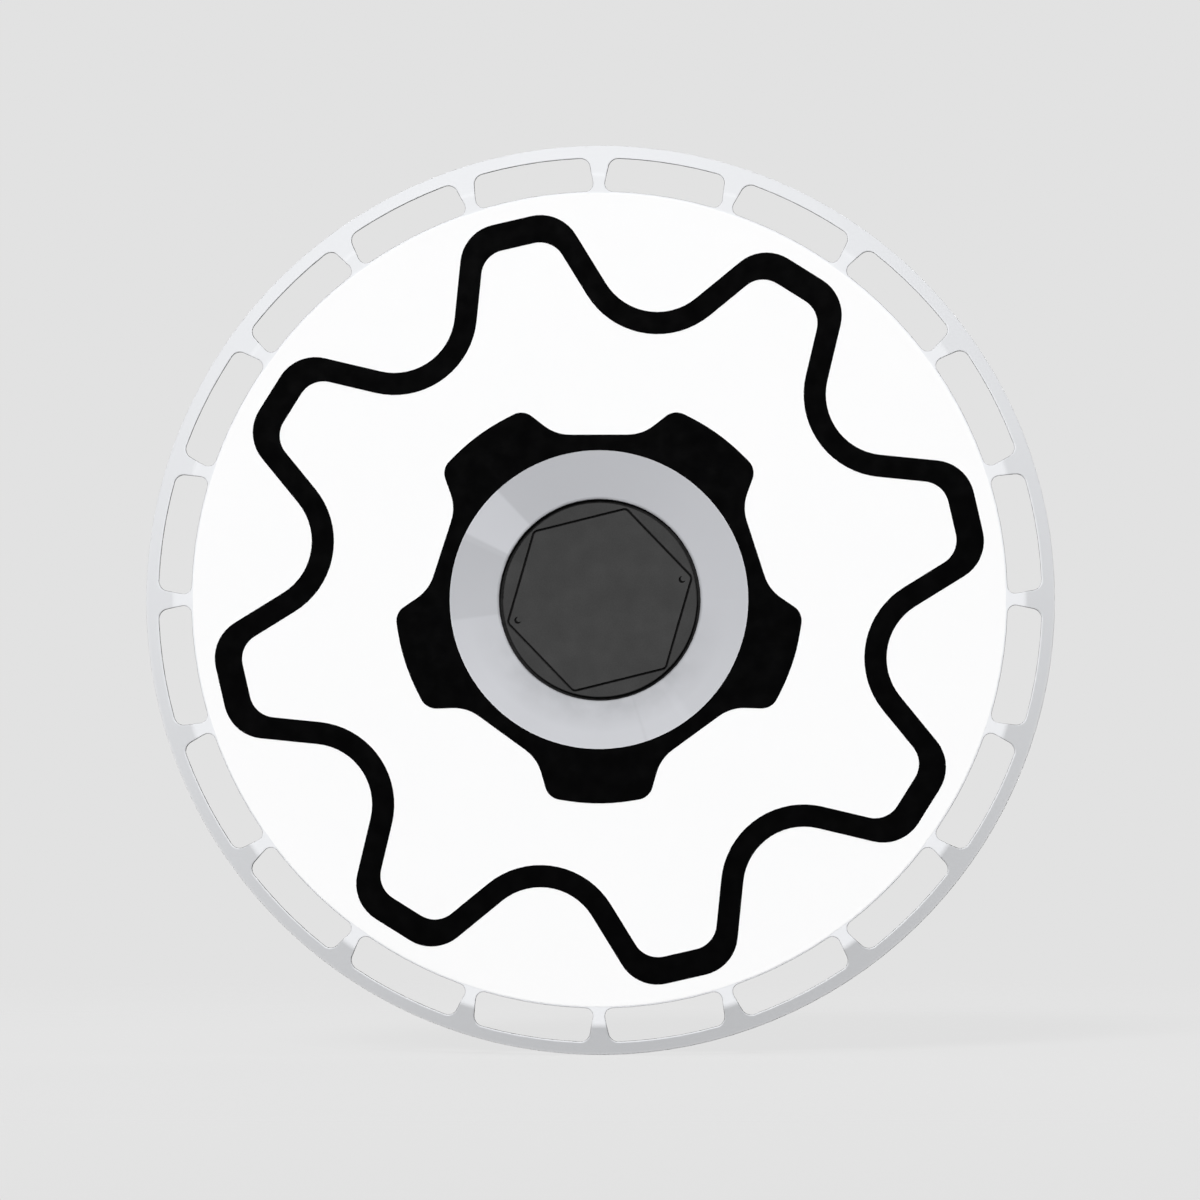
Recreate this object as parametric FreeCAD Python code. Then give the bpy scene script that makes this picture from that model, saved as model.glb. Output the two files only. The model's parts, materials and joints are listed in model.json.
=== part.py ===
"""Aero wheel cover for a 17 inch wheel: a moulded disc with a slotted rim, a printed wrap and a centre cap.

Units are millimetres. Seen from the front, X is to the right and Z is up. The face looks along -Y.
The origin is the centre of the rim seat, the plane where the cover's edge meets the wheel.
The wheel is on the +Y side. Angles turn from +X towards +Z, as they are seen from the front.
"""

import FreeCAD
import Part
import math
import os

from FreeCAD import Vector

# Moulded disc
COVER_RADIUS = 225.0
WALL = 2.6
FACE_HEIGHT = 15.0
SHOULDER_WIDTH = 14.5
SHOULDER_ROUND = 4.0
LIP_HEIGHT = 3.5
LIP_ROUND = 0.5
SEAT_ROUND = 0.5
INSIDE_ROUND = 1.0

# Air slots round the rim
SLOT_COUNT = 20
SLOT_OUTER_BAND = 6.4
SLOT_WIDTH = 16.8
SLOT_BAR_WIDTH = 4.1
SLOT_BAR_LEAN = 11.5
SLOT_INNER_ROUND = 4.0
SLOT_OUTER_ROUND = 5.0
SLOT_EDGE_ROUND = 0.5

# Conical dish in the middle of the face, and the well at its bottom that holds the cap
DISH_RADIUS = 73.4
DISH_DEPTH = 10.0
DISH_EDGE_ROUND = 1.0
WELL_RADIUS = 49.8
WELL_EDGE_ROUND = 0.8
LEDGE_WIDTH = 9.0

# Stiffening ribs behind the face
RIB_HEIGHT = 5.0
RIB_THICKNESS = 2.0
MIDDLE_RING_RADIUS = 128.0

# Retention legs, which snap into the wheel, and the spring wire that pushes them out
LEG_COUNT = 10
LEG_RADIUS = 193.6
LEG_THICKNESS = 3.2
LEG_WIDTH = 18.0
LEG_REACH = 12.0
LEG_LIP = 1.2
BARB_HEIGHT = 4.0
BARB_ROUND = 0.8
GUSSET_LENGTH = 9.0
GUSSET_WIRE_GAP = 4.0
WIRE_DIAMETER = 3.0
WIRE_SET_BACK = 5.5
WIRE_SEAT_DEPTH = 1.0
WIRE_CLEARANCE = 0.1
WIRE_GAP_ANGLE = 9.0
WIRE_HOOK_LENGTH = 6.0
WIRE_HOOK_BEND = 5.0

# Centre cap
CAP_THICKNESS = 3.6
CAP_SINK = 0.6
CAP_EDGE_GAP = 1.6
CAP_EDGE_ROUND = 0.6
FINGER_COUNT = 6
FINGER_WIDTH = 24.0
FINGER_THICKNESS = 2.4
FINGER_CLEARANCE = 0.4
FINGER_REACH = 6.0
HOOK_HEIGHT = 2.0
HOOK_LAND = 1.0
HOOK_CLEARANCE = 0.2
CAP_WIRE_DIAMETER = 1.6
CAP_WIRE_SET_BACK = 3.0
CAP_WIRE_SEAT_DEPTH = 0.5
CAP_WIRE_GAP_ANGLE = 14.0

# Hexagonal plate let into the cap, on its adhesive pad
PLATE_FLATS = 80.4
PLATE_THICKNESS = 1.6
PLATE_CORNER_ROUND = 2.2
PLATE_EDGE_CHAMFER = 0.15
PLATE_GAP = 1.0
PLATE_ANGLE = 13.9
NOTCH_DIAMETER = 3.4
NOTCH_CORE_DIAMETER = 2.5
NOTCH_CORE_SHIFT = 0.75
NOTCH_OPEN_ANGLE = 35.0
NOTCH_FROM_CORNER = 3.9
TAPE_THICKNESS = 0.6
TAPE_EDGE_GAP = 0.2

# White wrap film on the face, and the black figures on it
FILM_THICKNESS = 0.25
FILM_OUTER_MARGIN = 0.8
FILM_INNER_MARGIN = 0.4
FIGURE_THICKNESS = 0.15

# Cog outline: flat tops, straight flanks and round troughs
COG_LOBES = 8
COG_ANGLE = 12.95
COG_TOP_RADIUS = 192.3
COG_TOP_HALF_WIDTH = 24.6
COG_FLANK_LEAN = 18.7
COG_TROUGH_RADIUS = 144.5
COG_LINE = 11.0
COG_TOP_LINE = 13.35
COG_TOP_ROUND = 20.5
COG_INNER_TOP_ROUND = 13.0

# Five-lobed hub figure round the dish
HUB_LOBES = 5
HUB_ANGLE = 54.0
HUB_LOBE_RADIUS = 100.7
HUB_LOBE_HALF_WIDTH = 24.2
HUB_LOBE_ARC_ANGLE = 9.0
HUB_FLANK_LEAN = 16.0
HUB_ROOT_RADIUS = 81.5
HUB_TIP_ROUND = 8.5
HUB_ROOT_ROUND = 21.0

# Places that follow from the sizes above
FACE_Y = -FACE_HEIGHT
FACE_MID_Y = FACE_Y + WALL / 2
RIB_TOP_Y = FACE_Y + WALL + RIB_HEIGHT
DISH_BOTTOM_Y = FACE_Y + DISH_DEPTH
SHOULDER_RADIUS = COVER_RADIUS - SHOULDER_WIDTH
SLOT_OUTER_RADIUS = COVER_RADIUS - SLOT_OUTER_BAND
SLOT_INNER_RADIUS = SLOT_OUTER_RADIUS - SLOT_WIDTH
CAP_RADIUS = WELL_RADIUS - CAP_EDGE_GAP
CAP_FRONT_Y = DISH_BOTTOM_Y + CAP_SINK
LEDGE_RADIUS = WELL_RADIUS - LEDGE_WIDTH
LEDGE_Y = CAP_FRONT_Y + CAP_THICKNESS
LEDGE_BACK_Y = LEDGE_Y + WALL
RING_RIB_RADIUS = LEG_RADIUS - GUSSET_LENGTH
WIRE_RING_RADIUS = LEG_RADIUS + WIRE_SEAT_DEPTH - WIRE_DIAMETER / 2
FINGER_RADIUS = LEDGE_RADIUS - FINGER_CLEARANCE
FINGER_INNER_RADIUS = FINGER_RADIUS - FINGER_THICKNESS
CAP_WIRE_Y = LEDGE_BACK_Y + CAP_WIRE_SET_BACK
CAP_WIRE_RING_RADIUS = FINGER_INNER_RADIUS + CAP_WIRE_SEAT_DEPTH - CAP_WIRE_DIAMETER / 2
PLATE_POCKET_DEPTH = PLATE_THICKNESS + TAPE_THICKNESS
FILM_RADIUS = SLOT_INNER_RADIUS - FILM_OUTER_MARGIN
FILM_HOLE_RADIUS = DISH_RADIUS + FILM_INNER_MARGIN
FILM_Y = FACE_Y - FILM_THICKNESS
FIGURE_Y = FILM_Y - FIGURE_THICKNESS

ORIGIN = Vector(0, 0, 0)
BACKWARD = Vector(0, 1, 0)
TURN_AXIS = Vector(0, -1, 0)
FULL_TURN = 360.0
HEXAGON_SIDES = 6
TOUCH = 1e-4
EDGE_SAMPLES = 5


# Drawing helpers

def in_section(radius, y):
    """A point of a cross-section through the axis, drawn in the XY plane."""
    return Vector(radius, y, 0)


def in_plan(x, z):
    """A point of an outline that is seen from the front, drawn in the XZ plane."""
    return Vector(x, 0, z)


def swung(x, z, angle):
    """The (x, z) pair turned about the axis."""
    turn = math.radians(angle)
    return x * math.cos(turn) - z * math.sin(turn), x * math.sin(turn) + z * math.cos(turn)


def turned(shape, angle):
    """A copy of the shape, turned about the cover's axis."""
    copy = shape.copy()
    copy.rotate(ORIGIN, TURN_AXIS, angle)
    return copy


def round_pattern(shape, count):
    """Copies of the shape, evenly spaced round the axis, the first one at angle 0."""
    return [turned(shape, FULL_TURN / count * i) for i in range(count)]


def rounded_wire(corners, place):
    """A closed wire of straight edges through corners of (a, b, round), with a tangent arc at each round."""
    points = [Vector(a, b, 0) for a, b, _ in corners]
    rounds = []
    for i, here in enumerate(points):
        radius = corners[i][2]
        back = (points[i - 1] - here).normalize()
        ahead = (points[(i + 1) % len(points)] - here).normalize()
        half = back.getAngle(ahead) / 2
        reach = radius / math.tan(half)
        inset = radius / math.sin(half) - radius
        rounds.append((here + back * reach, here + (back + ahead).normalize() * inset, here + ahead * reach))
    edges = []
    for i, (start, middle, end) in enumerate(rounds):
        following = rounds[(i + 1) % len(rounds)][0]
        if start.distanceToPoint(end) > TOUCH:
            edges.append(Part.Arc(*[place(p.x, p.y) for p in (start, middle, end)]).toShape())
        if end.distanceToPoint(following) > TOUCH:
            edges.append(Part.makeLine(place(end.x, end.y), place(following.x, following.y)))
    return Part.Wire(edges)


def revolved(corners, angle=FULL_TURN):
    """A cross-section turned about the axis. A part turn is centred on angle 0."""
    solid = Part.Face(rounded_wire(corners, in_section)).revolve(ORIGIN, TURN_AXIS, angle)
    return solid if angle == FULL_TURN else turned(solid, -angle / 2)


def slab(corners, y, thickness):
    """A flat plate with that outline, its front at y."""
    solid = Part.Face(rounded_wire(corners, in_plan)).extrude(BACKWARD * thickness)
    solid.translate(BACKWARD * y)
    return solid


def disc(radius, y, thickness):
    """A round plate, its front at y."""
    return Part.makeCylinder(radius, thickness, BACKWARD * y, BACKWARD)


def web(points, thickness):
    """A flat web that stands on a cross-section through the axis, at angle 0."""
    corners = [(radius, y, 0) for radius, y in points]
    across = Vector(0, 0, thickness)
    solid = Part.Face(rounded_wire(corners, in_section)).extrude(across)
    solid.translate(across * -0.5)
    return solid


def moved_path(points, distance):
    """The open path moved to the left of its direction by the distance, with mitred corners."""
    path = [Vector(a, b, 0) for a, b in points]
    normals = []
    for start, end in zip(path, path[1:]):
        along = (end - start).normalize()
        normals.append(Vector(-along.y, along.x, 0))
    moved = []
    for point, before, after in zip(path, normals[:1] + normals, normals + normals[-1:]):
        mitre = (before + after).normalize()
        shifted = point + mitre * (distance / mitre.dot(after))
        moved.append((shifted.x, shifted.y))
    return moved


def wire_seat(ring_radius, y, diameter):
    """The round groove that a spring ring of that wire lies in."""
    return Part.makeTorus(ring_radius, diameter / 2 + WIRE_CLEARANCE, BACKWARD * y, BACKWARD)


def wire_along(edges, y, diameter):
    """A round wire along tangent edges in plan, at y."""
    path = Part.Wire(Part.__sortEdges__(edges))
    path.translate(BACKWARD * y)
    first = path.OrderedEdges[0]
    start = first.firstVertex(True).Point
    section = Part.makeCircle(diameter / 2, start, first.tangentAt(first.getParameterByLength(0)))
    return path.makePipeShell([Part.Wire(section)], True, False)


# Moulded disc

def front_path():
    """The front of the wall in cross-section, from the ledge's hole out to the rim seat."""
    return [
        (LEDGE_RADIUS, LEDGE_Y),
        (WELL_RADIUS, LEDGE_Y),
        (WELL_RADIUS, DISH_BOTTOM_Y),
        (DISH_RADIUS, FACE_Y),
        (SHOULDER_RADIUS, FACE_Y),
        (COVER_RADIUS, -LIP_HEIGHT),
        (COVER_RADIUS, 0),
    ]


def shell():
    """The wall of the disc, with no slots and no ribs."""
    front_rounds = [0, 0, WELL_EDGE_ROUND, DISH_EDGE_ROUND, SHOULDER_ROUND, LIP_ROUND, SEAT_ROUND]
    back_rounds = [0, INSIDE_ROUND, INSIDE_ROUND, INSIDE_ROUND, INSIDE_ROUND, 0, SEAT_ROUND]
    front = [(*point, size) for point, size in zip(front_path(), front_rounds)]
    back = [(*point, size) for point, size in zip(moved_path(front_path(), WALL), back_rounds)]
    return revolved(front + back[::-1])


def slot_cutter():
    """The space of one air slot, between the bar at angle 0 and the next one. The bars widen outwards."""
    half_pitch = FULL_TURN / SLOT_COUNT / 2
    spread = math.tan(math.radians(SLOT_BAR_LEAN))
    side = []
    for reach in (-SLOT_WIDTH, 2 * SLOT_WIDTH):
        side.append(swung(SLOT_INNER_RADIUS + reach, SLOT_BAR_WIDTH / 2 + reach * spread, -half_pitch))
    (x_in, z_in), (x_out, z_out) = side
    front = FACE_Y - WALL
    depth = FACE_HEIGHT + 2 * WALL
    wedge = slab([(x_in, z_in, 0), (x_out, z_out, 0), (x_out, -z_out, 0), (x_in, -z_in, 0)], front, depth)
    ring = disc(SLOT_OUTER_RADIUS, front, depth).cut(disc(SLOT_INNER_RADIUS, front, depth))
    cutter = ring.common(wedge).Solids[0]
    for radius, size in ((SLOT_INNER_RADIUS, SLOT_INNER_ROUND), (SLOT_OUTER_RADIUS, SLOT_OUTER_ROUND)):
        corners = []
        for edge in cutter.Edges:
            start, end = [vertex.Point for vertex in edge.Vertexes]
            upright = abs(abs(start.y - end.y) - depth) < TOUCH
            if upright and abs(math.hypot(start.x, start.z) - radius) < TOUCH:
                corners.append(edge)
        cutter = cutter.makeFillet(size, corners)
    return turned(cutter, half_pitch)


def slot_front_edges(body):
    """The edges where the slots break through the front of the wall."""
    middle = moved_path(front_path(), WALL / 2)
    (face_r, face_y), (lip_r, lip_y) = middle[4:6]
    slope = (lip_y - face_y) / (lip_r - face_r)
    found = []
    for edge in body.Edges:
        points = edge.discretize(EDGE_SAMPLES)
        radii = [math.hypot(p.x, p.z) for p in points]
        if min(radii) < SLOT_INNER_RADIUS - TOUCH or max(radii) > SLOT_OUTER_RADIUS + TOUCH:
            continue
        concentric = max(radii) - min(radii) < TOUCH
        on_slot_wall = min(abs(radii[0] - SLOT_INNER_RADIUS), abs(radii[0] - SLOT_OUTER_RADIUS)) < TOUCH
        upright = concentric and abs(points[0].y - points[-1].y) > TOUCH
        if upright or (concentric and not on_slot_wall):
            continue
        halfway = points[EDGE_SAMPLES // 2]
        wall_middle = face_y + max(0, math.hypot(halfway.x, halfway.z) - face_r) * slope
        if halfway.y < wall_middle:
            found.append(edge)
    return found


def ribs():
    """Radial ribs from the dish to the outer ring rib, and two ring ribs."""
    middle = moved_path(front_path(), WALL / 2)
    (bottom_r, bottom_y), (dish_r, dish_y) = middle[2:4]
    along = (RIB_TOP_Y - dish_y) / (bottom_y - dish_y)
    inner = max(dish_r + along * (bottom_r - dish_r), bottom_r)
    outer = RING_RIB_RADIUS
    profile = [(dish_r, dish_y), (outer, FACE_MID_Y), (outer, RIB_TOP_Y), (inner, RIB_TOP_Y)]
    rib = web(profile, RIB_THICKNESS)
    rings = []
    for radius in (MIDDLE_RING_RADIUS, RING_RIB_RADIUS):
        ring = disc(radius + RIB_THICKNESS / 2, FACE_MID_Y, RIB_TOP_Y - FACE_MID_Y)
        rings.append(ring.cut(disc(radius - RIB_THICKNESS / 2, FACE_MID_Y, RIB_TOP_Y - FACE_MID_Y)))
    return round_pattern(rib, LEG_COUNT) + rings


def leg():
    """One retention leg at angle 0: a barb outside, a seat for the spring wire inside, and two gussets."""
    outer = LEG_RADIUS + LEG_THICKNESS
    barb = [
        (LEG_RADIUS, FACE_MID_Y, 0),
        (outer, FACE_MID_Y, 0),
        (outer, WIRE_SET_BACK - BARB_HEIGHT, BARB_ROUND),
        (outer + BARB_HEIGHT, WIRE_SET_BACK, BARB_ROUND),
        (LEG_RADIUS + LEG_THICKNESS / 2, LEG_REACH, 0),
        (LEG_RADIUS, LEG_REACH, 0),
        (LEG_RADIUS - LEG_LIP, LEG_REACH - LEG_LIP, 0),
        (LEG_RADIUS - LEG_LIP, WIRE_SET_BACK, 0),
        (LEG_RADIUS, WIRE_SET_BACK, 0),
    ]
    span = math.degrees(LEG_WIDTH / LEG_RADIUS)
    body = revolved(barb, span).cut(wire_seat(WIRE_RING_RADIUS, WIRE_SET_BACK, WIRE_DIAMETER))
    top = WIRE_SET_BACK - WIRE_DIAMETER / 2 - GUSSET_WIRE_GAP
    root = LEG_RADIUS + LEG_THICKNESS / 2
    gusset = web([(RING_RIB_RADIUS, FACE_MID_Y), (root, FACE_MID_Y), (root, top), (LEG_RADIUS, top),
                  (RING_RIB_RADIUS, RIB_TOP_Y)], RIB_THICKNESS)
    swing = span / 2 - math.degrees(RIB_THICKNESS / LEG_RADIUS)
    return [body, turned(gusset, swing), turned(gusset, -swing)]


def cover_disc():
    """The whole moulding."""
    body = shell().cut(round_pattern(slot_cutter(), SLOT_COUNT))
    body = body.makeFillet(SLOT_EDGE_ROUND, slot_front_edges(body))
    legs = [copy for piece in leg() for copy in round_pattern(piece, LEG_COUNT)]
    return body.fuse(ribs() + legs).removeSplitter()


def retention_wire():
    """The spring wire ring in the legs' seats, open between two legs, its ends bent in towards the axis."""
    half = 180 - WIRE_GAP_ANGLE / 2
    edges = []
    ends = []
    for side in (-1, 1):
        outward = in_plan(*swung(1, 0, side * half))
        along = in_plan(*swung(0, side, side * half))
        end = outward * WIRE_RING_RADIUS
        centre = outward * (WIRE_RING_RADIUS - WIRE_HOOK_BEND)
        middle = centre + (outward + along).normalize() * WIRE_HOOK_BEND
        bent = centre + along * WIRE_HOOK_BEND
        edges.append(Part.Arc(end, middle, bent).toShape())
        edges.append(Part.makeLine(bent, bent - outward * WIRE_HOOK_LENGTH))
        ends.append(end)
    edges.append(Part.Arc(ends[0], in_plan(WIRE_RING_RADIUS, 0), ends[1]).toShape())
    return turned(wire_along(edges, WIRE_SET_BACK, WIRE_DIAMETER), FULL_TURN / LEG_COUNT / 2)


# Centre cap

def hexagon(flats, size):
    """The corners of the plate's hexagon, at that size over the flats and with that corner round."""
    reach = flats / 2 / math.cos(math.pi / HEXAGON_SIDES)
    pitch = FULL_TURN / HEXAGON_SIDES
    return [(*swung(reach, 0, PLATE_ANGLE + pitch * i), size) for i in range(HEXAGON_SIDES)]


def front_edges(body, y, within):
    """The edges that lie in the plane at y, inside that radius."""
    found = []
    for edge in body.Edges:
        points = edge.discretize(EDGE_SAMPLES)
        if all(abs(p.y - y) < TOUCH and math.hypot(p.x, p.z) < within for p in points):
            found.append(edge)
    return found


def finger():
    """One snap finger of the cap at angle 0, with a hook behind the ledge and a seat for the spring ring."""
    floor = CAP_THICKNESS - PLATE_POCKET_DEPTH
    root = LEDGE_Y - floor / 2
    hook = LEDGE_BACK_Y + HOOK_CLEARANCE
    tip = LEDGE_BACK_Y + FINGER_REACH
    profile = [
        (FINGER_INNER_RADIUS, root, 0),
        (FINGER_RADIUS, root, 0),
        (FINGER_RADIUS, hook, 0),
        (FINGER_RADIUS + HOOK_HEIGHT, hook, 0),
        (FINGER_RADIUS + HOOK_HEIGHT, hook + HOOK_LAND, 0),
        (FINGER_RADIUS - FINGER_THICKNESS / 2, tip, 0),
        (FINGER_INNER_RADIUS, tip, 0),
    ]
    body = revolved(profile, math.degrees(FINGER_WIDTH / FINGER_RADIUS))
    return body.cut(wire_seat(CAP_WIRE_RING_RADIUS, CAP_WIRE_Y, CAP_WIRE_DIAMETER))


def centre_cap():
    """The round cap, with a hexagonal pocket in front and snap fingers behind."""
    body = disc(CAP_RADIUS, CAP_FRONT_Y, CAP_THICKNESS)
    body = body.makeFillet(CAP_EDGE_ROUND, front_edges(body, CAP_FRONT_Y, COVER_RADIUS))
    pocket = hexagon(PLATE_FLATS + 2 * PLATE_GAP, PLATE_CORNER_ROUND + PLATE_GAP)
    body = body.cut(slab(pocket, CAP_FRONT_Y, PLATE_POCKET_DEPTH))
    pocket_edges = front_edges(body, CAP_FRONT_Y, CAP_RADIUS - CAP_EDGE_ROUND - TOUCH)
    body = body.makeChamfer(PLATE_EDGE_CHAMFER, pocket_edges)
    return body.fuse(round_pattern(finger(), FINGER_COUNT)).removeSplitter()


def hex_plate():
    """The plate, flush with the cap, with a crescent notch through it near each of two opposite corners."""
    body = slab(hexagon(PLATE_FLATS, PLATE_CORNER_ROUND), CAP_FRONT_Y, PLATE_THICKNESS)
    body = body.makeChamfer(PLATE_EDGE_CHAMFER, front_edges(body, CAP_FRONT_Y, COVER_RADIUS))
    core = disc(NOTCH_CORE_DIAMETER / 2, CAP_FRONT_Y, PLATE_THICKNESS)
    core.translate(in_plan(*swung(NOTCH_CORE_SHIFT, 0, NOTCH_OPEN_ANGLE)))
    corner_x, corner_z, _ = hexagon(PLATE_FLATS - 2 * NOTCH_FROM_CORNER, 0)[0]
    notches = []
    for side in (-1, 1):
        notch = disc(NOTCH_DIAMETER / 2, CAP_FRONT_Y, PLATE_THICKNESS).cut(core)
        notch.translate(in_plan(side * corner_x, side * corner_z))
        notches.append(notch)
    return body.cut(notches)


def plate_tape():
    """The adhesive pad between the plate and the floor of its pocket, cut to the pocket."""
    margin = PLATE_GAP - TAPE_EDGE_GAP
    outline = hexagon(PLATE_FLATS + 2 * margin, PLATE_CORNER_ROUND + margin)
    return slab(outline, CAP_FRONT_Y + PLATE_THICKNESS, TAPE_THICKNESS)


def cap_wire():
    """The spring ring that pushes the cap's fingers out, open between two fingers."""
    half = 180 - CAP_WIRE_GAP_ANGLE / 2
    ends = [in_plan(*swung(CAP_WIRE_RING_RADIUS, 0, side * half)) for side in (-1, 1)]
    ring = Part.Arc(ends[0], in_plan(CAP_WIRE_RING_RADIUS, 0), ends[1]).toShape()
    return turned(wire_along([ring], CAP_WIRE_Y, CAP_WIRE_DIAMETER), FULL_TURN / FINGER_COUNT / 2)


# Wrap film and its figures

def wrap_film():
    """The white ring of film on the flat face."""
    return disc(FILM_RADIUS, FILM_Y, FILM_THICKNESS).cut(disc(FILM_HOLE_RADIUS, FILM_Y, FILM_THICKNESS))


def cog_outline(top_radius, half_width, trough_radius, top_round):
    """The corners of a cog: two for each flat top, and one for the trough that follows it."""
    half_pitch = math.pi / COG_LOBES
    lean = math.radians(COG_FLANK_LEAN)
    trough_x = (half_width + top_radius * math.tan(lean)) / (math.tan(half_pitch) + math.tan(lean))
    trough_corner = trough_x / math.cos(half_pitch)
    trough_round = (trough_radius - trough_corner) / (1 / math.sin(half_pitch + lean) - 1)
    corners = []
    for i in range(COG_LOBES):
        angle = COG_ANGLE + FULL_TURN / COG_LOBES * i
        corners.append((*swung(top_radius, -half_width, angle), top_round))
        corners.append((*swung(top_radius, half_width, angle), top_round))
        corners.append((*swung(trough_corner, 0, angle + math.degrees(half_pitch)), trough_round))
    return corners


def cog_figure():
    """The black line of the cog, a little wider over its flat tops."""
    lean = math.radians(COG_FLANK_LEAN)
    inner_half_width = COG_TOP_HALF_WIDTH + COG_TOP_LINE * math.tan(lean) - COG_LINE / math.cos(lean)
    outside = cog_outline(COG_TOP_RADIUS, COG_TOP_HALF_WIDTH, COG_TROUGH_RADIUS, COG_TOP_ROUND)
    inside = cog_outline(COG_TOP_RADIUS - COG_TOP_LINE, inner_half_width, COG_TROUGH_RADIUS - COG_LINE,
                         COG_INNER_TOP_ROUND)
    return slab(outside, FIGURE_Y, FIGURE_THICKNESS).cut(slab(inside, FIGURE_Y, FIGURE_THICKNESS))


def hub_figure():
    """The black hub: lobes with arc tops on the corners of a straight-sided figure, open over the dish."""
    arc = math.radians(HUB_LOBE_ARC_ANGLE)
    lean = math.tan(math.radians(HUB_FLANK_LEAN))
    half_pitch = math.pi / HUB_LOBES
    flank_at_axis = HUB_LOBE_HALF_WIDTH + HUB_LOBE_RADIUS * lean
    ends = []
    for turn, radius in ((arc, HUB_LOBE_RADIUS), (half_pitch, HUB_ROOT_RADIUS)):
        x = (radius - flank_at_axis * math.sin(turn)) / (math.cos(turn) - lean * math.sin(turn))
        ends.append((x, flank_at_axis - lean * x))
    (tip_x, tip_z), (root_x, root_z) = ends
    lobe = [
        (root_x, -root_z, HUB_ROOT_ROUND),
        (tip_x, -tip_z, HUB_TIP_ROUND),
        (HUB_LOBE_RADIUS / math.cos(arc), 0, HUB_LOBE_RADIUS),
        (tip_x, tip_z, HUB_TIP_ROUND),
        (root_x, root_z, HUB_ROOT_ROUND),
    ]
    corners = []
    for i in range(HUB_LOBES):
        angle = HUB_ANGLE + FULL_TURN / HUB_LOBES * i
        corners += [(*swung(x, z, angle), size) for x, z, size in lobe]
    hole = disc(FILM_HOLE_RADIUS, FIGURE_Y, FIGURE_THICKNESS)
    return slab(corners, FIGURE_Y, FIGURE_THICKNESS).cut(hole)


PIECES = [
    cover_disc,
    retention_wire,
    centre_cap,
    hex_plate,
    plate_tape,
    cap_wire,
    wrap_film,
    cog_figure,
    hub_figure,
]

os.makedirs("parts", exist_ok=True)
for piece in PIECES:
    piece().exportStep(f"parts/{piece.__name__}.step")
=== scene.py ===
"""Looks of the aero wheel cover: materials, a pale floor, soft light and a camera near the cover's axis."""
import json
import math

import bpy
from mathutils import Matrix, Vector


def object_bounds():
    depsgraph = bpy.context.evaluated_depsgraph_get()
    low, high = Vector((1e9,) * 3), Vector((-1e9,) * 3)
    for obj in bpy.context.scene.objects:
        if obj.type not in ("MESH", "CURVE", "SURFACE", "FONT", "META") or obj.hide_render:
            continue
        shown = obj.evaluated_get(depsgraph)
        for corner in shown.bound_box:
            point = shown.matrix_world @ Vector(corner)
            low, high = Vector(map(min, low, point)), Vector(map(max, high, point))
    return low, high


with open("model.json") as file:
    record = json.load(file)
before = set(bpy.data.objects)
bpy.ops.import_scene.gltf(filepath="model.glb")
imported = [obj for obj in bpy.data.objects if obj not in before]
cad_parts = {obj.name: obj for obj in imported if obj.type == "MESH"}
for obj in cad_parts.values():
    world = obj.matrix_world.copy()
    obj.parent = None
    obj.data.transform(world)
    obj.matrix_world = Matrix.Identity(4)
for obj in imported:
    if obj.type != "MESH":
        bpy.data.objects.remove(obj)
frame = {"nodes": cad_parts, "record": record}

CAD_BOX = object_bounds()


def reach(name, pick):
    """The least or the greatest distance of a piece's points from the cover's axis."""
    return pick(math.hypot(point.co.x, point.co.z) for point in frame["nodes"][name].data.vertices)


# Places on the cover, as radii in metres
CAP_GAP = 0.0016
DISH_EDGE = 0.0004
SLOT_BAND = 0.0058
LIP_WIDTH = 0.0015
RIM_RADIUS = reach("cover_disc", max)
WELL_RADIUS = reach("centre_cap", max) + CAP_GAP
DISH_RADIUS = reach("wrap_film", min) + DISH_EDGE
SLOT_EDGE_RADIUS = RIM_RADIUS - SLOT_BAND
LIP_RADIUS = RIM_RADIUS - LIP_WIDTH
WELL_BLEND = 0.0001
DISH_BLEND = 0.0003
SLOT_EDGE_BLEND = 0.0003

# Painted reflections and shade on the dish: sectors of (start, end, tone, blend at the start, blend at the
# end), in degrees
TOP_ANGLE = 90.0
FULL_TURN = 360.0
DISH_PAINTED_LIGHT_SECTORS = (
    (133.0, 153.5, 1.17, 0.6, 0.6),
    (156.0, 188.0, 0.955, 0.6, 0.6),
    (188.0, 230.0, 1.06, 0.6, 9.0),
    (262.0, 306.0, 0.965, 9.0, 2.0),
    (288.2, 289.2, 0.95, 0.6, 0.6),
    (308.0, 375.0, 0.93, 2.0, 30.0),
)

# Painted shade round the well: how far it reaches in metres, and how much of the paint it hides
WELL_SHADE_REACH = 0.0015
WELL_SHADE_LOW_REACH = 0.016
WELL_SHADE_SHARE = 1.0
WELL_SHADE_LOW_SHARE = 0.48

# How far round an edge the paint of the front reaches, as the surface normal's Y there
PAINT_END_AT_SLOTS = -0.55
PAINT_END_AT_LIP = 0.15
PAINT_END_BLEND = 0.1

# Noise: the values that it mostly keeps to, and how ragged it is
NOISE_SPAN = (0.3, 0.7)
SMOOTH = 1.0
EVEN = 2.0
UNEVEN = 3.0
RAGGED = 4.0

# Disc: lumps a metre in each noise, spans of roughness, gloss, and heights in metres
PAINT_CLOUDS = 14.0
PAINT_GRAIN = 1500.0
PAINT_GRAIN_SHARE = 0.12
PAINT_ROUGHNESS = (0.40, 0.50)
BARE_GRAIN = 2200.0
BARE_ROUGHNESS = (0.52, 0.66)
DISC_SPECKS = 700.0
DISC_HEIGHT = 0.00004
DISC_GLOSS = 0.10
WELL_SHADE_LUMPS = 90.0
SCUFF_LUMPS = 240.0
SCUFF_SPAN = (0.60, 0.75)
SCUFF_SHARE = 0.3

# Lip: a painted highlight, lighter on the lower half that the cover stands on, with a soft change this far
# each way, in metres
LIP_HIGHLIGHT_BLEND = 0.05

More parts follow.
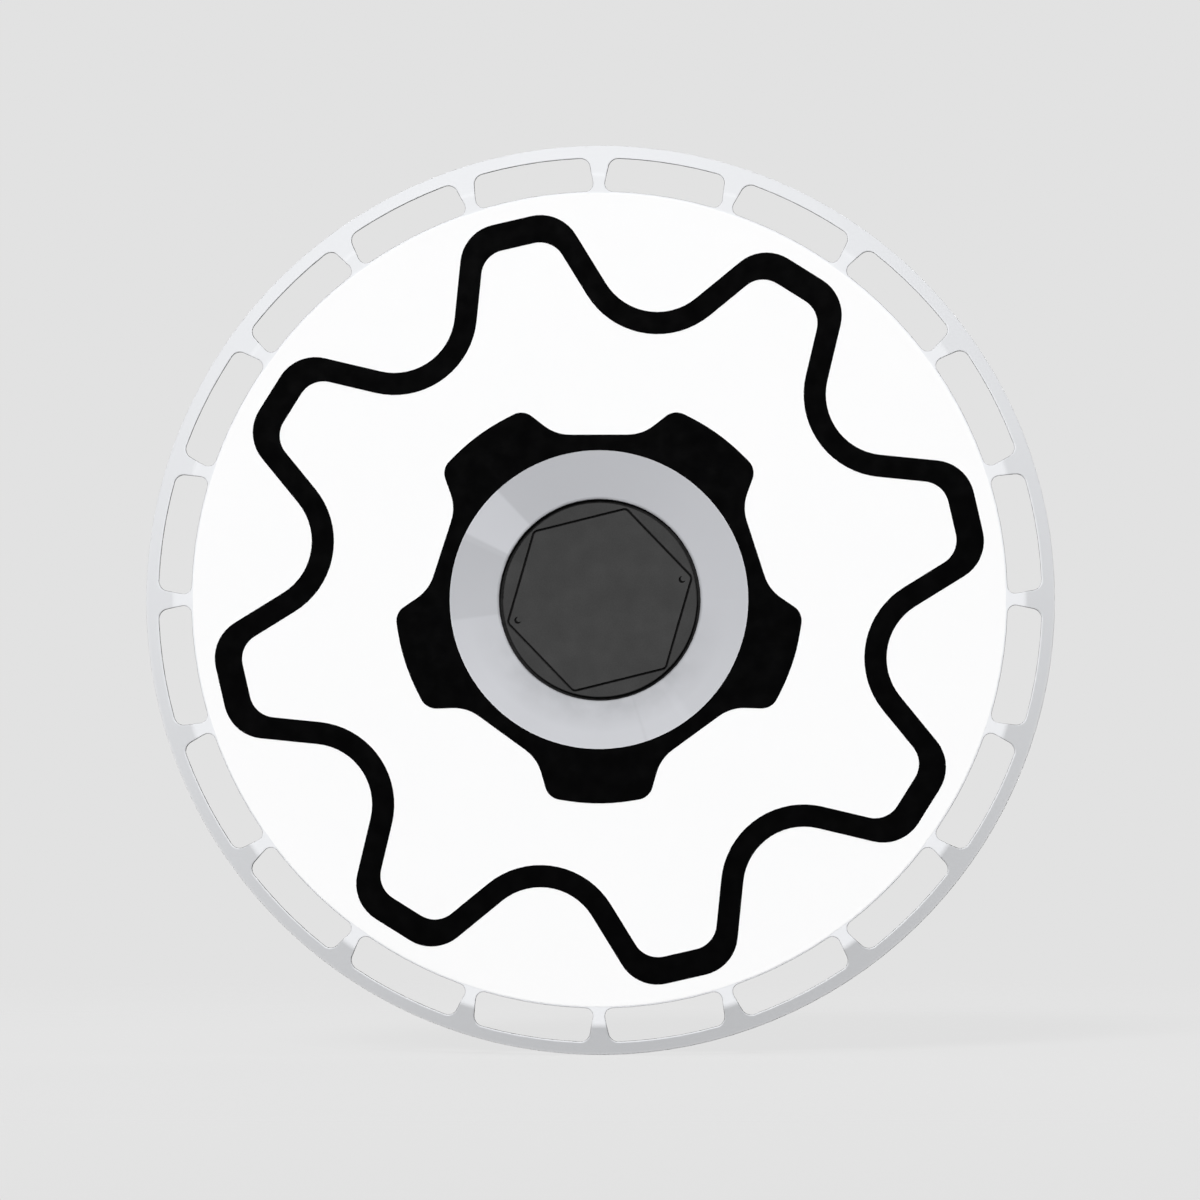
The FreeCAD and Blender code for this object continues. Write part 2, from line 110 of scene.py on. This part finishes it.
# Wrap film, white and black
FILM_CLOUDS = 18.0
FILM_SHEEN = 120.0
FILM_PEEL = 650.0
FILM_PEEL_HEIGHT = 0.00001
FILM_WAVES = 40.0
FILM_WAVE_HEIGHT = 0.00004
WHITE_ROUGHNESS = (0.37, 0.47)
WHITE_GLOSS = 0.10
BLACK_ROUGHNESS = (0.15, 0.25)
BLACK_GLOSS = 0.015

# Dark plastics of the cap and the plate: broad patches and fine specks of tone, and painted shade on upright
# walls
DARK_PATCHES = 35.0
DARK_PATCH_SHARE = 0.2
DARK_SPECKS = 1400.0
DARK_TONE_SPAN = (0.35, 0.65)
DARK_SHEEN = 90.0
DARK_ROUGHNESS = (0.56, 0.70)
DARK_HEIGHT = 0.00005
DARK_GLOSS = 0.12
UPRIGHT_SPAN = (0.8, 0.4)
CAP_GRAIN = 2400.0
PLATE_GRAIN = 3000.0

# Spring wire: lines along it, which are shrunk along the ring, and stains
WIRE_LINES = 2600.0
WIRE_LINE_SHRINK = 0.02
WIRE_LINE_HEIGHT = 0.00002
WIRE_SHEEN = 400.0
WIRE_ROUGHNESS = (0.26, 0.42)
STAIN_LUMPS = 170.0
STAIN_SPAN = (0.62, 0.72)
STAIN_SHARE = 0.7

# Foam pad
FOAM_CELLS = 1300.0
FOAM_CELL_SPAN = (0.1, 0.6)
FOAM_HEIGHT = 0.0002
FOAM_SHEEN = 300.0
FOAM_ROUGHNESS = (0.82, 0.95)
FOAM_GLOSS = 0.05

# Camera: far off, a little to the right of the cover's axis and below it, in metres and degrees
CAMERA_DISTANCE = 6.0
CAMERA_RIGHT = 2.4
CAMERA_DOWN = 1.0
CAMERA_AIM = Vector((0.0, -0.002, 0.0))
VIEW_WIDTH = 0.5940
SENSOR_WIDTH = 36.0

# Light: a soft key in front, a little above and to the left, a weak lamp behind and the room's own light
KEY_FROM = Vector((-0.10, -1.0, 0.31))
KEY_STRENGTH = 3.05
KEY_ANGLE = 9.0
BACK_FROM = Vector((0.35, 1.0, 0.10))
BACK_STRENGTH = 1.2
BACK_ANGLE = 40.0
ROOM_SPAN = (-0.5, 0.5)
ROOM_STRENGTH = (0.15, 0.55)

# Background and floor
PALE = (0.76, 0.76, 0.76, 1.0)
FLOOR_RADIUS = 3.0
FLOOR_SIDES = 96
FLOOR_FADE = (0.8, 2.6)
FLOOR_GLOW = 0.69
FLOOR_CLOUDS = 3.0
FLOOR_LIGHT = (0.130, 0.130, 0.130, 1.0)
FLOOR_SHADE = (0.125, 0.125, 0.125, 1.0)

# Tones, as linear colours
WHITE = (1.0, 1.0, 1.0, 1.0)
FACE_LIGHT = (0.784, 0.794, 0.814, 1.0)
FACE_SHADE = (0.770, 0.780, 0.802, 1.0)
# The dish's grey, darker than the face, is painted shade of the recess
DISH_LIGHT = (0.560, 0.568, 0.596, 1.0)
DISH_SHADE = (0.535, 0.543, 0.571, 1.0)
BARE_LIGHT = (0.048, 0.048, 0.050, 1.0)
BARE_SHADE = (0.038, 0.038, 0.040, 1.0)
# Painted highlight, lighter than the face, on the lower half of the lip
LIP_PAINTED_HIGHLIGHT = (0.850, 0.855, 0.868, 1.0)
SCUFF = (0.560, 0.560, 0.565, 1.0)
# Painted shade, darker round the well and at its bottom
WELL_PAINTED_SHADE = (0.060, 0.060, 0.062, 1.0)
FILM_LIGHT = (0.909, 0.909, 0.911, 1.0)
FILM_SHADE = (0.898, 0.898, 0.901, 1.0)
BLACK_LIGHT = (0.0008, 0.0008, 0.0009, 1.0)
BLACK_SHADE = (0.0004, 0.0004, 0.0005, 1.0)
CAP_LIGHT = (0.038, 0.038, 0.038, 1.0)
CAP_SHADE = (0.033, 0.033, 0.033, 1.0)
PLATE_LIGHT = (0.039, 0.039, 0.039, 1.0)
PLATE_SHADE = (0.035, 0.035, 0.035, 1.0)
# Near black painted shade, laid in the well round the cap and on the upright walls of the cap and plate
PAINTED_GAP_SHADE = (0.005, 0.005, 0.005, 1.0)
STEEL_LIGHT = (0.62, 0.61, 0.60, 1.0)
STEEL_SHADE = (0.40, 0.39, 0.38, 1.0)
STEEL_STAIN = (0.23, 0.16, 0.11, 1.0)
FOAM_LIGHT = (0.008, 0.008, 0.008, 1.0)
FOAM_SHADE = (0.004, 0.004, 0.004, 1.0)


class Graph:
    """A node tree, with short calls for the nodes that the finishes, the floor and the room share."""

    def __init__(self, tree):
        self.tree = tree
        self.coords = self.add("ShaderNodeTexCoord")
        self.place = self.coords.outputs["Object"]

    def add(self, kind, inputs=None, **settings):
        """A new node, its settings set and its inputs fed by name or number."""
        node = self.tree.nodes.new(kind)
        for key, value in settings.items():
            setattr(node, key, value)
        for key, value in (inputs or {}).items():
            self.feed(node.inputs[key], value)
        return node

    def feed(self, socket, value):
        """Links another node's output to the socket, or sets its value."""
        if isinstance(value, bpy.types.NodeSocket):
            self.tree.links.new(value, socket)
        else:
            socket.default_value = value

    def math(self, operation, a, b=0.0):
        """One sum with two numbers."""
        return self.add("ShaderNodeMath", {0: a, 1: b}, operation=operation).outputs[0]

    def cloud(self, scale, detail=EVEN, place=None):
        """Soft noise from 0 to 1, with that many lumps a metre."""
        inputs = {"Vector": place or self.place, "Scale": scale, "Detail": detail}
        return self.add("ShaderNodeTexNoise", inputs).outputs["Fac"]

    def span(self, value, low, high, start=0.0, end=1.0):
        """The value's way from low to high, as a number from start to end."""
        inputs = {"Value": value, "From Min": low, "From Max": high, "To Min": start, "To Max": end}
        return self.add("ShaderNodeMapRange", inputs).outputs["Result"]

    def varied(self, scale, detail, values):
        """A number that wanders between the two values, with that many lumps a metre."""
        return self.span(self.cloud(scale, detail), *NOISE_SPAN, *values)

    def mix(self, share, a, b):
        """Colour a where the share is 0 and colour b where it is 1."""
        return self.add("ShaderNodeMix", {0: share, 6: a, 7: b}, data_type="RGBA").outputs[2]

    def between(self, share, a, b):
        """Number a where the share is 0 and number b where it is 1."""
        return self.add("ShaderNodeMix", {0: share, 2: a, 3: b}).outputs[0]

    def axes(self, vector):
        """The vector's three numbers."""
        return self.add("ShaderNodeSeparateXYZ", {0: vector}).outputs[:]

    def facing(self):
        """The surface normal's Y: -1 for the front, 0 for upright walls and 1 for the back."""
        return self.axes(self.coords.outputs["Normal"])[1]

    def degrees(self):
        """The angle about the cover's axis: 90 at the top, 180 on the left, and so on round to 450."""
        x, _, z = self.axes(self.place)
        from_top = self.math("ARCTAN2", self.math("MULTIPLY", x, -1.0), z)
        turn = self.math("FLOORED_MODULO", self.math("DEGREES", from_top), FULL_TURN)
        return self.math("ADD", turn, TOP_ANGLE)

    def radius(self):
        """The distance from the cover's axis."""
        x, _, z = self.axes(self.place)
        flat = self.add("ShaderNodeCombineXYZ", {0: x, 2: z}).outputs[0]
        return self.add("ShaderNodeVectorMath", {0: flat}, operation="LENGTH").outputs["Value"]

    def bump(self, height, distance, under=None):
        """Surface relief of that height in metres, over another relief."""
        inputs = {"Height": height, "Distance": distance}
        if under:
            inputs["Normal"] = under
        return self.add("ShaderNodeBump", inputs).outputs["Normal"]

    def seen(self):
        """1 for what the camera sees, straight, in gloss or through glass, and 0 for light on the part."""
        path = self.add("ShaderNodeLightPath").outputs
        straight_or_gloss = self.math("MAXIMUM", path["Is Camera Ray"], path["Is Glossy Ray"])
        return self.math("MAXIMUM", straight_or_gloss, path["Is Transmission Ray"])


class Finish(Graph):
    """The graph of a material."""

    def __init__(self, name):
        self.material = bpy.data.materials.new(name)
        self.material.use_nodes = True
        super().__init__(self.material.node_tree)
        self.bsdf = self.tree.nodes["Principled BSDF"]

    def finish(self, colour, roughness, normal, **fixed):
        """Feeds the shader and sets what is the same all over. Returns the material."""
        self.feed(self.bsdf.inputs["Base Color"], colour)
        self.feed(self.bsdf.inputs["Roughness"], roughness)
        self.feed(self.bsdf.inputs["Normal"], normal)
        for name, value in fixed.items():
            self.bsdf.inputs[name.replace("_", " ")].default_value = value
        return self.material


def dish_painted_light(s, clouds):
    """The dish's colour, with painted light: a little lighter or darker in some sectors, where reflections
    and shade fall.
    """
    angle = s.degrees()
    tone = 1.0
    # Each sector's tone is painted light, reflections and shade, not a change in the paint
    for start, end, share, start_blend, end_blend in DISH_PAINTED_LIGHT_SECTORS:
        rise = s.span(angle, start - start_blend, start + start_blend)
        fall = s.span(angle, end + end_blend, end - end_blend)
        change = s.math("MULTIPLY", s.math("MULTIPLY", rise, fall), share - 1.0)
        tone = s.math("ADD", tone, change)
    paint = s.mix(clouds, DISH_LIGHT, DISH_SHADE)
    return s.add("ShaderNodeVectorMath", {0: paint, "Scale": tone}, operation="SCALE").outputs[0]


def dish_painted_shade(s, radius):
    """How much painted shade lies round the well: a thin line all round, and a soft patch at the bottom."""
    line = s.span(radius, WELL_RADIUS + WELL_SHADE_REACH, WELL_RADIUS, 0.0, WELL_SHADE_SHARE)
    low = s.span(s.axes(s.place)[2], 0.0, -WELL_RADIUS, 0.0, WELL_SHADE_LOW_SHARE)
    patch = s.math("MULTIPLY", low, s.span(radius, WELL_RADIUS + WELL_SHADE_LOW_REACH, WELL_RADIUS))
    return s.math("MULTIPLY", s.math("MAXIMUM", line, patch), s.cloud(WELL_SHADE_LUMPS, UNEVEN))


def bare_moulding(s, radius, in_well):
    """1 where the disc has no paint: in the well, behind, and past the paint's end at an edge."""
    paint_end = s.span(radius, SLOT_EDGE_RADIUS, SLOT_EDGE_RADIUS + SLOT_EDGE_BLEND,
                       PAINT_END_AT_SLOTS, PAINT_END_AT_LIP)
    past_paint = s.span(s.math("SUBTRACT", s.facing(), paint_end), -PAINT_END_BLEND, PAINT_END_BLEND)
    return s.math("MAXIMUM", past_paint, in_well)


def disc_plastic():
    """Pale paint in front, greyer in the dish as painted shade, with painted light in some sectors, painted
    shade round the well and in the gap, a painted highlight and scuffs at the lip, over the dark bare
    moulding.
    """
    s = Finish("disc_plastic")
    clouds = s.cloud(PAINT_CLOUDS, UNEVEN)
    specks = s.cloud(DISC_SPECKS)
    radius = s.radius()
    in_well = s.span(radius, WELL_RADIUS + WELL_BLEND, WELL_RADIUS - WELL_BLEND)
    in_dish = s.span(radius, DISH_RADIUS + DISH_BLEND, DISH_RADIUS - DISH_BLEND)
    on_lip = s.span(radius, LIP_RADIUS, RIM_RADIUS)
    bare = bare_moulding(s, radius, in_well)
    face = s.mix(clouds, FACE_LIGHT, FACE_SHADE)
    # Round the well the dish is painted darker: painted shade at the cap's edge
    dish = s.mix(dish_painted_shade(s, radius), dish_painted_light(s, clouds), WELL_PAINTED_SHADE)
    # In the well the moulding is painted near black: painted shade in the gap round the cap
    moulding = s.mix(in_well, s.mix(clouds, BARE_LIGHT, BARE_SHADE), PAINTED_GAP_SHADE)
    scuffs = s.math("MULTIPLY", s.span(s.cloud(SCUFF_LUMPS, RAGGED), *SCUFF_SPAN), on_lip)
    front = s.mix(in_dish, face, dish)
    # The lower half of the lip is painted lighter: a painted highlight over its shaded edge
    low = s.span(s.axes(s.place)[2], LIP_HIGHLIGHT_BLEND, -LIP_HIGHLIGHT_BLEND)
    front = s.mix(s.math("MULTIPLY", on_lip, low), front, LIP_PAINTED_HIGHLIGHT)
    front = s.mix(s.math("MULTIPLY", scuffs, SCUFF_SHARE), front, SCUFF)
    colour = s.mix(bare, front, moulding)
    roughness = s.between(bare, s.span(specks, *NOISE_SPAN, *PAINT_ROUGHNESS),
                          s.span(specks, *NOISE_SPAN, *BARE_ROUGHNESS))
    paint_grain = s.math("MULTIPLY", s.cloud(PAINT_GRAIN, SMOOTH), PAINT_GRAIN_SHARE)
    grain = s.between(bare, paint_grain, s.cloud(BARE_GRAIN))
    return s.finish(colour, roughness, s.bump(grain, DISC_HEIGHT), Specular_IOR_Level=DISC_GLOSS)


def film(name, light, shade, roughness, gloss):
    """Wrap film: even colour, satin gloss and the orange peel of its adhesive."""
    s = Finish(name)
    colour = s.mix(s.cloud(FILM_CLOUDS, UNEVEN), light, shade)
    sheen = s.varied(FILM_SHEEN, UNEVEN, roughness)
    peel = s.bump(s.cloud(FILM_PEEL, SMOOTH), FILM_PEEL_HEIGHT)
    normal = s.bump(s.cloud(FILM_WAVES, SMOOTH), FILM_WAVE_HEIGHT, peel)
    return s.finish(colour, sheen, normal, Specular_IOR_Level=gloss)


def grained(name, light, shade, grain):
    """Dark moulded plastic with a fine matt grain, and painted shade on its upright walls."""
    s = Finish(name)
    patches = s.math("MULTIPLY", s.cloud(DARK_PATCHES, UNEVEN), DARK_PATCH_SHARE)
    tone = s.math("ADD", patches, s.math("MULTIPLY", s.cloud(DARK_SPECKS), 1.0 - DARK_PATCH_SHARE))
    plain = s.mix(s.span(tone, *DARK_TONE_SPAN), shade, light)
    # Upright walls are painted near black: painted shade in the grooves and gaps
    upright = s.span(s.math("ABSOLUTE", s.facing()), *UPRIGHT_SPAN)
    colour = s.mix(upright, plain, PAINTED_GAP_SHADE)
    roughness = s.varied(DARK_SHEEN, UNEVEN, DARK_ROUGHNESS)
    return s.finish(colour, roughness, s.bump(s.cloud(grain), DARK_HEIGHT), Specular_IOR_Level=DARK_GLOSS)


def spring_steel():
    """Drawn wire: fine lines along the ring and a few brown stains."""
    s = Finish("spring_steel")
    x, y, z = s.axes(s.place)
    turn = s.math("MULTIPLY", s.math("ARCTAN2", z, x), WIRE_LINE_SHRINK)
    along = s.add("ShaderNodeCombineXYZ", {0: turn, 1: y, 2: s.radius()}).outputs[0]
    lines = s.cloud(WIRE_LINES, place=along)
    steel = s.mix(s.span(lines, *NOISE_SPAN), STEEL_SHADE, STEEL_LIGHT)
    stains = s.span(s.cloud(STAIN_LUMPS, RAGGED), *STAIN_SPAN, 0.0, STAIN_SHARE)
    colour = s.mix(stains, steel, STEEL_STAIN)
    roughness = s.varied(WIRE_SHEEN, EVEN, WIRE_ROUGHNESS)
    return s.finish(colour, roughness, s.bump(lines, WIRE_LINE_HEIGHT), Metallic=1.0)


def tape_foam():
    """Black foam pad: open cells and a dull skin."""
    s = Finish("tape_foam")
    cells = s.add("ShaderNodeTexVoronoi", {"Vector": s.place, "Scale": FOAM_CELLS}).outputs["Distance"]
    colour = s.mix(s.span(cells, *FOAM_CELL_SPAN), FOAM_SHADE, FOAM_LIGHT)
    roughness = s.varied(FOAM_SHEEN, EVEN, FOAM_ROUGHNESS)
    return s.finish(colour, roughness, s.bump(cells, FOAM_HEIGHT), Specular_IOR_Level=FOAM_GLOSS)


FINISHES = {
    "disc_plastic": disc_plastic(),
    "spring_steel": spring_steel(),
    "cap_plastic": grained("cap_plastic", CAP_LIGHT, CAP_SHADE, CAP_GRAIN),
    "plate_plastic": grained("plate_plastic", PLATE_LIGHT, PLATE_SHADE, PLATE_GRAIN),
    "tape_foam": tape_foam(),
    "white_film": film("white_film", FILM_LIGHT, FILM_SHADE, WHITE_ROUGHNESS, WHITE_GLOSS),
    "black_film": film("black_film", BLACK_LIGHT, BLACK_SHADE, BLACK_ROUGHNESS, BLACK_GLOSS),
}


def dress():
    """Gives each piece the finish of its slot in the record."""
    for part in frame["record"]["subparts"]:
        mesh = frame["nodes"][part["node"]].data
        mesh.materials.clear()
        mesh.materials.append(FINISHES[part["material_slot"]])


def surroundings():
    """A pale backdrop to the eye, and for light a dim room that is brighter behind the cover."""
    world = bpy.data.worlds.new("studio")
    bpy.context.scene.world = world
    world.use_nodes = True
    world.node_tree.nodes.clear()
    g = Graph(world.node_tree)
    depth = g.axes(g.coords.outputs["Generated"])[1]
    strength = g.span(depth, *ROOM_SPAN, *ROOM_STRENGTH)
    room = g.add("ShaderNodeBackground", {"Color": WHITE, "Strength": strength})
    backdrop = g.add("ShaderNodeBackground", {"Color": PALE, "Strength": 1.0})
    either = g.add("ShaderNodeMixShader", {0: g.seen(), 1: room.outputs[0], 2: backdrop.outputs[0]})
    g.add("ShaderNodeOutputWorld", {"Surface": either.outputs[0]})


def floor():
    """A pale floor under the cover, which fades into the backdrop."""
    bpy.ops.mesh.primitive_circle_add(vertices=FLOOR_SIDES, radius=FLOOR_RADIUS, fill_type="NGON")
    ground = bpy.context.object
    ground.name = "floor"
    ground.location.z = CAD_BOX[0].z
    s = Finish("floor")
    s.tree.nodes.remove(s.bsdf)
    tone = s.mix(s.cloud(FLOOR_CLOUDS, UNEVEN), FLOOR_LIGHT, FLOOR_SHADE)
    matt = s.add("ShaderNodeBsdfDiffuse", {"Color": tone})
    strength = s.math("MULTIPLY", s.seen(), FLOOR_GLOW)
    glow = s.add("ShaderNodeEmission", {"Color": WHITE, "Strength": strength})
    both = s.add("ShaderNodeAddShader", {0: matt.outputs[0], 1: glow.outputs[0]})
    far = s.add("ShaderNodeVectorMath", {0: s.place}, operation="LENGTH").outputs["Value"]
    fade = s.span(far, *FLOOR_FADE)
    clear = s.add("ShaderNodeBsdfTransparent")
    cover = s.add("ShaderNodeMixShader", {0: fade, 1: both.outputs[0], 2: clear.outputs[0]})
    s.feed(s.tree.nodes["Material Output"].inputs["Surface"], cover.outputs[0])
    ground.data.materials.append(s.material)


def light(name, source, strength, angle):
    """A far lamp that shines from the source's direction."""
    lamp = bpy.data.lights.new(name, "SUN")
    lamp.energy = strength
    lamp.angle = math.radians(angle)
    holder = bpy.data.objects.new(name, lamp)
    holder.rotation_euler = source.to_track_quat("Z", "Y").to_euler()
    bpy.context.scene.collection.objects.link(holder)


def camera():
    """A long lens that looks almost straight at the face."""
    lens = bpy.data.cameras.new("camera")
    lens.sensor_width = SENSOR_WIDTH
    lens.lens = SENSOR_WIDTH * CAMERA_DISTANCE / VIEW_WIDTH
    view = bpy.data.objects.new("camera", lens)
    right = math.radians(CAMERA_RIGHT)
    down = math.radians(CAMERA_DOWN)
    away = Vector((math.sin(right) * math.cos(down), -math.cos(right) * math.cos(down), -math.sin(down)))
    view.location = CAMERA_AIM + away * CAMERA_DISTANCE
    view.rotation_euler = away.to_track_quat("Z", "Y").to_euler()
    bpy.context.scene.collection.objects.link(view)
    bpy.context.scene.camera = view


dress()
surroundings()
floor()
light("key", KEY_FROM, KEY_STRENGTH, KEY_ANGLE)
light("back", BACK_FROM, BACK_STRENGTH, BACK_ANGLE)
camera()
bpy.context.scene.view_settings.view_transform = "Standard"
